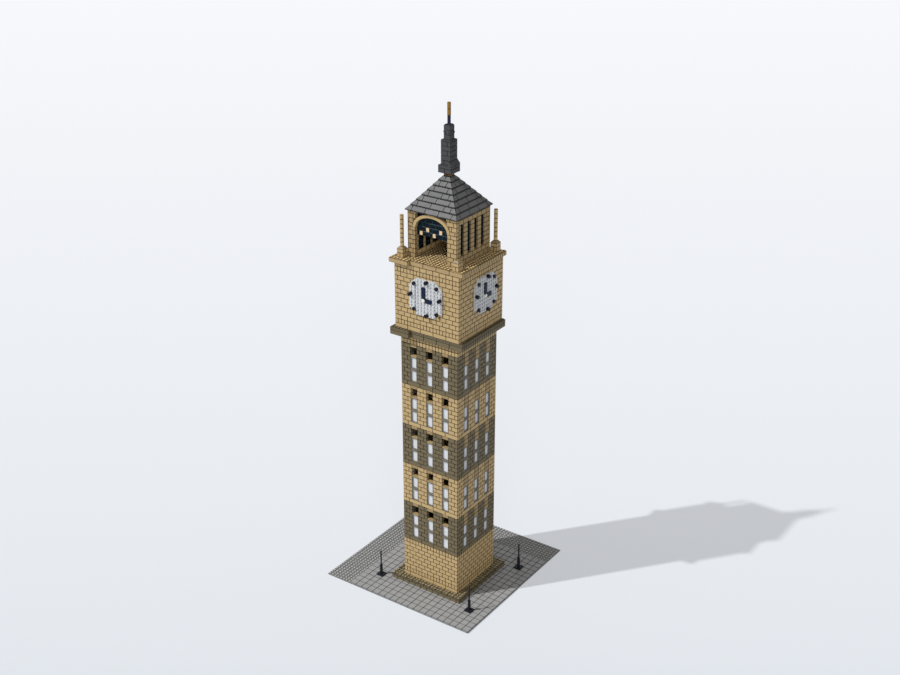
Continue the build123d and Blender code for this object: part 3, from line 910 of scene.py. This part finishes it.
PINNACLE_SPOT = 8.5  # studs from the axis, both ways
PINNACLE_CAP_TONE = -0.45
COLUMN_BRICKS = 7
BARE_CORNER = (1, -1)
ROUND_EDGE = 0.0008


def model_cap(name, width, height, taper):
    """A block whose top is drawn in on all four sides."""
    cap = start_model(
        name, "primitive_cube_add", size=1, scale=(width, width, height),
        location=(0, 0, height / 2),
    )
    pick(cap, lambda normal: normal.z > 0.9)
    kept = (width - 2 * taper) / width
    bpy.ops.transform.resize(value=(kept, kept, 1), center_override=(0, 0, height))
    bpy.ops.mesh.select_all(action="SELECT")
    soften(FINE_EDGE)
    bpy.ops.object.mode_set(mode="OBJECT")
    return cap


def model_round(name, radius, height, edge, sides=18):
    """A round brick: a cylinder whose rims are softened and show as seams."""
    tall = height - SEAM
    brick = start_model(
        name, "primitive_cylinder_add", vertices=sides, radius=radius, depth=tall,
        location=(0, 0, tall / 2),
    )
    pick(brick, lambda normal: abs(normal.z) > 0.9)
    soften(edge)
    bpy.ops.object.mode_set(mode="OBJECT")
    bpy.ops.object.shade_smooth_by_angle(angle=math.radians(35))
    return brick


deck_top = deck_high[2]
base_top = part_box("pinnacle_bases")[1][2]
cap_height = 1.5 * PLATE
upper_height = base_top - cap_height - deck_top - BRICK
bases = {}
cap_places = []
column_places = []
for corner in ((-1, -1), (1, -1), (1, 1), (-1, 1)):
    x, y = (PINNACLE_SPOT * side for side in corner)
    for half in (-1, 0):
        fill(bases, (x + half, x + half + 1), (y - 1, y + 1), deck_top, BRICK)
        fill(bases, (x - 1, x + 1), (y + half, y + half + 1), deck_top + BRICK, upper_height)
    spot = (axis_x + x * STUD, axis_y + y * STUD)
    cap_places.append(Matrix.Translation((*spot, base_top - cap_height)))
    if corner != BARE_CORNER:
        for course in range(COLUMN_BRICKS):
            column_places.append(Matrix.Translation((*spot, base_top + course * BRICK)))
pinnacle_cap = model_cap("pinnacle_cap", 2 * STUD, cap_height, 0.5 * STUD)
base_bricks = set_out(
    "pinnacle_base_bricks", models_of(bases) + [(pinnacle_cap, cap_places)], tan, tan_seam,
    tones={"pinnacle_cap": PINNACLE_CAP_TONE},
)
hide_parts("pinnacle_bases")
round_brick = model_round("pinnacle_round_brick", STUD / 2, BRICK, ROUND_EDGE)
columns = set_out(
    "pinnacle_round_bricks", [(round_brick, column_places)], tan, tan_seam, variation=0.05
)
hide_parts("pinnacle_columns")

# ==== Roof ====================================================
# Seven courses of dark grey ABS slope bricks, each pressed on the last and a stud
# smaller all round; corner slopes make the hips and longer ones break their joints.

LIP = 0.0016  # the upright edge at a slope's foot
SLOPE_EDGE = 0.0006
SLOPE_RUNS = ((4, 4, 4), (4, 4, 2), (4, 4), (4, 2), (4,), (2,), ())

# Slopes have a grained face, which spreads their shine wide and pale over a dark grey.
roof_grey = moulded_abs("grey_abs_slope", "#565656", roughness=0.5, sheen=0.38)
roof_seam = moulded_abs("grey_abs_slope_edge", "#141416", roughness=0.6)


def model_slope(name, length, corner=False):
    """A slope brick: a block cut by a plane down to its lip, or by two at a corner."""
    size = (length * STUD - SEAM, 2 * STUD - SEAM, BRICK - SEAM)
    slope = start_model(
        name, "primitive_cube_add", size=1, scale=size,
        location=(length * STUD / 2, STUD, size[2] / 2),
    )
    for normal in ((0, -1, 1), (-1, 0, 1)) if corner else ((0, -1, 1),):
        cut_model((0, 0, LIP), normal)
    soften(SLOPE_EDGE)
    close_model()
    return slope


corner_slope = model_slope("corner_slope", 2, corner=True)
slopes = {length: model_slope(f"slope_2x{length}", length) for length in (2, 4)}
for course, lengths in enumerate(SLOPE_RUNS, start=1):
    low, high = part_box(f"roof_course_{course}")
    half = (high[0] - low[0]) / 2
    places = {corner_slope: [], slopes[2]: [], slopes[4]: []}
    for face in range(4):
        turn = facing(face)
        places[corner_slope].append(turn @ Matrix.Translation((-half, -half, low[2])))
        start = 2 * STUD - half
        for length in lengths:
            spot = Matrix.Translation((start, -half, low[2]))
            places[slopes[length]].append(turn @ spot)
            start += length * STUD
    course_slopes = set_out(
        f"roof_course_{course}_slopes",
        [(model, spots) for model, spots in places.items() if spots],
        roof_grey, roof_seam, variation=0.04,
    )
    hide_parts(f"roof_course_{course}")

# ==== Spire ===================================================
# All ABS, stacked stud into foot: a gold neck, a charcoal collar with one sloping
# side, two square brick stages, a round navy rod and a round gold finial.

COLLAR_LIP = 0.0004  # the upright edge at the foot of the collar's slope
CHAMFER = 0.0012  # the upright edges of the top stage
TOP_EDGE = 0.0004
ROD_EDGE = 0.0003
FINIAL_EDGE = 0.0005
FINIAL_BRICK = 4 * PLATE

# Charcoal ABS barely shines.  The navy rod is darker still, and the gold pieces are
# ABS with a gold pigment, which reads ochre and not like metal.
spire_dark = moulded_abs("charcoal_abs_spire", "#48484A", roughness=0.55, sheen=0.1)
spire_seam = moulded_abs("charcoal_abs_spire_edge", "#1B1B1D", roughness=0.6)
rod_navy = moulded_abs("navy_abs_rod", "#25243A", roughness=0.4)
rod_seam = moulded_abs("navy_abs_rod_edge", "#101018", roughness=0.6)
gold = moulded_abs("gold_abs_finial", "#8C6A2C", roughness=0.35)
gold_seam = moulded_abs("gold_abs_finial_edge", "#4A340F", roughness=0.5)

neck_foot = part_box("spire_neck")[0][2]
neck = {}
for start in (-1, 0):
    fill(neck, (start, start + 1), (-1, 1), neck_foot, PLATE)
    fill(neck, (-1, 1), (start, start + 1), neck_foot + PLATE, PLATE)
neck_plates = set_out("spire_neck_plates", models_of(neck), gold, gold_seam)
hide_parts("spire_neck")

collar_foot, collar_top = (corner[2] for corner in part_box("spire_collar"))
collar = {}
for start in (-2, 0):
    fill(collar, (start, start + 2), (-2, 2), collar_foot, BRICK)
    fill(collar, (-2, 2), (start, start + 2), collar_foot + BRICK, 2 * PLATE)
for left, right in ((-1.5, -0.5), (-0.5, 1.5)):
    fill(collar, (left, right), (-1.5, 1.5), collar_top - BRICK, BRICK)
collar_slope = start_model(
    "collar_slope", "primitive_cube_add", size=1, scale=(STUD, 4 * STUD, BRICK),
    location=(STUD / 2, 0, BRICK / 2),
)
cut_model((STUD, 0, COLLAR_LIP), Vector((BRICK, 0, STUD)).normalized())
close_model()
slope_place = Matrix.Translation((axis_x + STUD, axis_y, collar_top - BRICK))
collar_bricks = set_out(
    "spire_collar_bricks", models_of(collar) + [(collar_slope, [slope_place])],
    spire_dark, spire_seam,
)
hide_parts("spire_collar")

stage = {}
stage_foot, stage_top = (corner[2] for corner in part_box("spire_stage"))
for number, (foot, height) in enumerate(courses(stage_foot, stage_top)):
    joint = 0.5 if number % 2 else -0.5
    for part in ((-1.5, joint), (joint, 1.5)):
        spans = (part, (-1.5, 1.5)) if number % 2 else ((-1.5, 1.5), part)
        fill(stage, *spans, foot, height)
stage_bricks = set_out(
    "spire_stage_bricks", models_of(stage), spire_dark, spire_seam, variation=0.06
)
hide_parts("spire_stage")

top_foot, top_end = (corner[2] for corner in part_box("spire_top"))
top_brick = start_model(
    "spire_top_brick", "primitive_cube_add", size=1, scale=(2 * STUD, 2 * STUD, BRICK - SEAM),
    location=(0, 0, BRICK / 2),
)
bpy.ops.mesh.select_mode(type="EDGE")
bpy.ops.mesh.select_all(action="DESELECT")
mesh = bmesh.from_edit_mesh(top_brick.data)
for edge in mesh.edges:
    run = edge.verts[1].co - edge.verts[0].co
    edge.select = abs(run.z) > 0.9 * run.length
bmesh.update_edit_mesh(top_brick.data)
soften(CHAMFER, slot=-1)
pick(top_brick, lambda normal: abs(normal.z) > 0.9)
soften(TOP_EDGE)
bpy.ops.object.mode_set(mode="OBJECT")


def stacked(foot, height, count):
    """Places one above another on the tower's axis."""
    return [Matrix.Translation((axis_x, axis_y, foot + step * height)) for step in range(count)]


# Four studs stand on the top stage and two on each side of its middle brick.
stud_spots = []
for face in range(4):
    turn = facing(face)
    stud_spots.append(turn @ Matrix.Translation((0.5 * STUD, 0.5 * STUD, top_end)))
    for across in (-0.5, 0.5):
        side_spot = Matrix.Translation((across * STUD, -STUD, top_foot + 1.5 * BRICK))
        stud_spots.append(turn @ side_spot @ outward)
top_bricks = set_out(
    "spire_top_bricks", [(top_brick, stacked(top_foot, BRICK, 3)), (stud, stud_spots)],
    spire_dark, spire_seam, variation=0.05,
)
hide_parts("spire_top")

rod_low, rod_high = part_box("spire_rod")
rod_brick = model_round("rod_brick", (rod_high[0] - rod_low[0]) / 2, BRICK, ROD_EDGE)
rod = set_out(
    "spire_rod_bricks", [(rod_brick, stacked(rod_low[2], BRICK, 2))], rod_navy, rod_seam
)
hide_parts("spire_rod")

tip_low, tip_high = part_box("gold_finial")
tip_brick = model_round(
    "finial_brick", (tip_high[0] - tip_low[0]) / 2, FINIAL_BRICK, FINIAL_EDGE
)
tip_places = stacked(tip_low[2], FINIAL_BRICK + SEAM, 2)
tip = set_out("finial_bricks", [(tip_brick, tip_places)], gold, gold_seam)
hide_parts("gold_finial")

# The pieces that the copies were made from are no part of the tower.
for model in models:
    bpy.data.objects.remove(model)

# ==== Lamp posts ==============================================
# Each is a square foot plate, a thick round shaft and a thin rod, moulded in
# black ABS; a polished mould gives them small sharp glints.

finish_node("lamp_posts", moulded_abs("black_abs_lamp", "#1B1F26", roughness=0.25))

# ==== Studio ==================================================
# A wide pale floor and a pale sky, a sun-like key lamp from the front left and a
# weak broad one from the front right; the camera looks down from the front right.

KEY_DIRECTION = (0.420, 0.521, -0.743)
FILL_DIRECTION = (-0.52, 0.744, -0.4185)
FLOOR_AWAY = (-0.573, 0.8195, 0)  # level, and straight away from the camera
FLOOR_NEAR, FLOOR_FAR = -0.4, 6.05  # metres that way, between which the floor pales
FLOOR_GLOW = 0.4  # how far the floor's glow lights the tower; 1 is as much as is seen
SKY_STRENGTH = 0.42
CAMERA_PLACE = (1.514, -2.149, 1.7815)
CAMERA_TARGET = (0.0286, -0.024, 0.5864)

bpy.ops.object.select_all(action="DESELECT")
bpy.ops.mesh.primitive_plane_add(size=60, location=(0, 0, 0))
floor = bpy.context.object
floor.name = "studio_floor"

# Matt paint with a glow that the camera sees whole and that lights the tower less,
# so that the floor is pale and keeps the tower's shadow.
floor_paint = bpy.data.materials.new("pale_floor_paint")
floor_paint.use_nodes = True
floor_paint.node_tree.nodes.clear()
place = node(floor_paint, "ShaderNodeTexCoord").outputs["Object"]
away = node(
    floor_paint, "ShaderNodeVectorMath", {"operation": "DOT_PRODUCT"}, _0=place, _1=FLOOR_AWAY
).outputs["Value"]
ramp = node(
    floor_paint, "ShaderNodeMapRange", Value=away, From_Min=FLOOR_NEAR, From_Max=FLOOR_FAR
).outputs[0]
fade = node(floor_paint, "ShaderNodeMath", {"operation": "POWER"}, _0=ramp, _1=0.5).outputs[0]
shade = node(
    floor_paint, "ShaderNodeMix", {"data_type": "RGBA"},
    _0=fade, _6=linear("#93969B"), _7=linear("#B6B3B4"),
).outputs[2]
seen = node(floor_paint, "ShaderNodeLightPath").outputs["Is Camera Ray"]
power = node(
    floor_paint, "ShaderNodeMapRange", Value=seen, To_Min=FLOOR_GLOW, To_Max=1.0
).outputs[0]
glow = node(floor_paint, "ShaderNodeEmission", Color=shade, Strength=power).outputs[0]
paint = node(floor_paint, "ShaderNodeBsdfDiffuse", Color=linear("#ABAFB3")).outputs[0]
both = node(floor_paint, "ShaderNodeAddShader", _0=glow, _1=paint).outputs[0]
node(floor_paint, "ShaderNodeOutputMaterial", Surface=both)
floor.data.materials.append(floor_paint)


def add_lamp(name, direction, strength, spread):
    """Adds a distant lamp that shines along a direction and looks some degrees wide."""
    bpy.ops.object.light_add(type="SUN", rotation=(0, 0, 0))
    lamp = bpy.context.object
    lamp.name = name
    lamp.rotation_mode = "QUATERNION"
    lamp.rotation_quaternion = Vector(direction).to_track_quat("-Z", "Y")
    lamp.data.energy = strength
    lamp.data.angle = math.radians(spread)


add_lamp("key_lamp", KEY_DIRECTION, strength=2.6, spread=1)
add_lamp("fill_lamp", FILL_DIRECTION, strength=0.8, spread=30)

world = bpy.data.worlds.new("studio_sky")
bpy.context.scene.world = world
world.use_nodes = True
sky = world.node_tree.nodes["Background"]
sky.inputs["Color"].default_value = linear("#FFFFFF")
sky.inputs["Strength"].default_value = SKY_STRENGTH

bpy.ops.object.camera_add(location=CAMERA_PLACE)
camera = bpy.context.object
camera.name = "camera"
camera.data.lens = 54.41
camera.data.sensor_width = 36
camera.data.clip_end = 200
aim = Vector(CAMERA_TARGET) - camera.location
camera.rotation_mode = "QUATERNION"
camera.rotation_quaternion = aim.to_track_quat("-Z", "Y")
bpy.context.scene.camera = camera
bpy.context.scene.view_settings.view_transform = "Standard"
